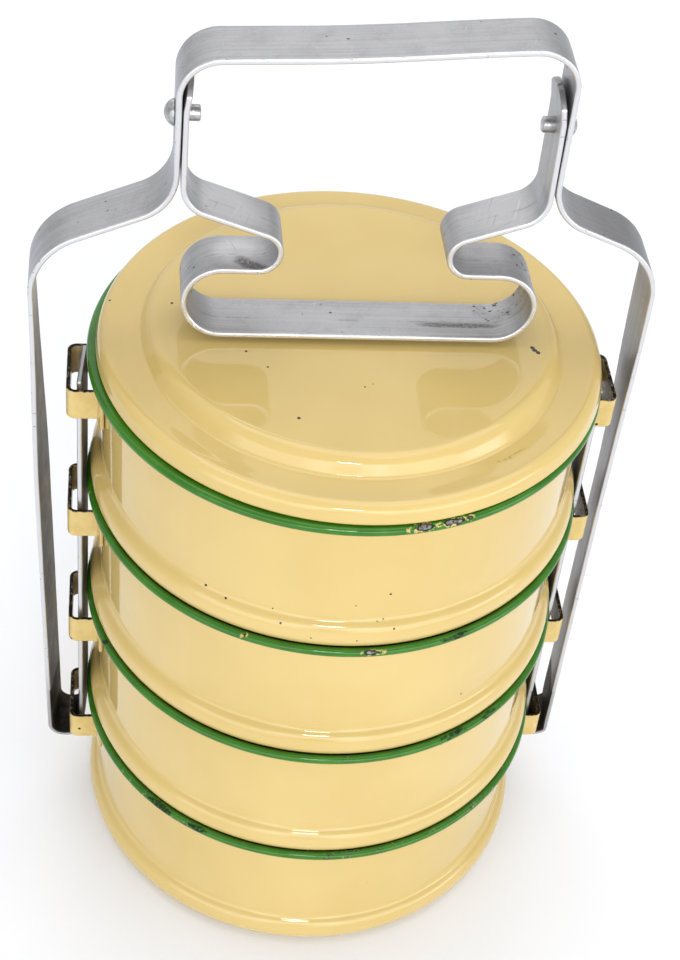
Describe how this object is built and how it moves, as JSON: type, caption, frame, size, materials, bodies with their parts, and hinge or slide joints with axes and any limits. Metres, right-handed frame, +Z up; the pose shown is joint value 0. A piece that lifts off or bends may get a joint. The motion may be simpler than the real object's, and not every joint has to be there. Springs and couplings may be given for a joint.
{
  "type": "tiffin carrier",
  "caption": "Stack of round cream enamelled food bowls with green rolled rims and a stepped lid, held in a bent aluminium strap carrier with a handle and a swinging lid clamp.",
  "frame": {"origin": "centre of the lowest bowl's flat base, on the surface that the carrier stands on", "axes": "+Z up along the bowls' axis; X runs through the lugs, the legs and the rivets; the clamp swings towards -Y"},
  "size_m": [0.191, 0.1611, 0.3216],
  "materials": {
    "enamel": "glossy",
    "enamel_lug": "glossy",
    "strip": "satin",
    "rivet": "satin"
  },
  "bodies": {
    "carrier": {"carrier_strap": "strip", "rivet_left": "rivet", "rivet_right": "rivet", "bowl_1": "enamel", "lug_1_left": "enamel_lug", "lug_1_right": "enamel_lug"},
    "tier_2": {"bowl_2": "enamel", "lug_2_left": "enamel_lug", "lug_2_right": "enamel_lug"},
    "tier_3": {"bowl_3": "enamel", "lug_3_left": "enamel_lug", "lug_3_right": "enamel_lug"},
    "tier_4": {"bowl_4": "enamel", "lug_4_left": "enamel_lug", "lug_4_right": "enamel_lug"},
    "lid": {"lid": "enamel"},
    "clamp": {"clamp_strap": "strip"}
  },
  "joints": [
    {"name": "lid_lift", "type": "slide", "parent": "carrier", "child": "lid", "axis": [0, 0, 1], "range_m": [0, 0.0056]},
    {"name": "clamp_swing", "type": "hinge", "parent": "carrier", "child": "clamp", "pos_m": [0, 0, 0.29265], "axis": [-1, 0, 0], "range_deg": [0, 97.5]},
    {"name": "tier_4_lift", "type": "slide", "parent": "carrier", "child": "tier_4", "axis": [0, 0, 1], "range_m": [0, 0.00394]},
    {"name": "tier_3_lift", "type": "slide", "parent": "carrier", "child": "tier_3", "axis": [0, 0, 1], "range_m": [0, 0.00263]},
    {"name": "tier_2_lift", "type": "slide", "parent": "carrier", "child": "tier_2", "axis": [0, 0, 1], "range_m": [0, 0.00132]}
  ],
  "couplings": [
    {"joint": "tier_2_lift", "follows": "lid_lift", "ratio": 0.234},
    {"joint": "tier_3_lift", "follows": "lid_lift", "ratio": 0.468},
    {"joint": "tier_4_lift", "follows": "lid_lift", "ratio": 0.702},
    {"joint": "clamp_swing", "follows": "lid_lift", "rad_per_m": 303}
  ]
}
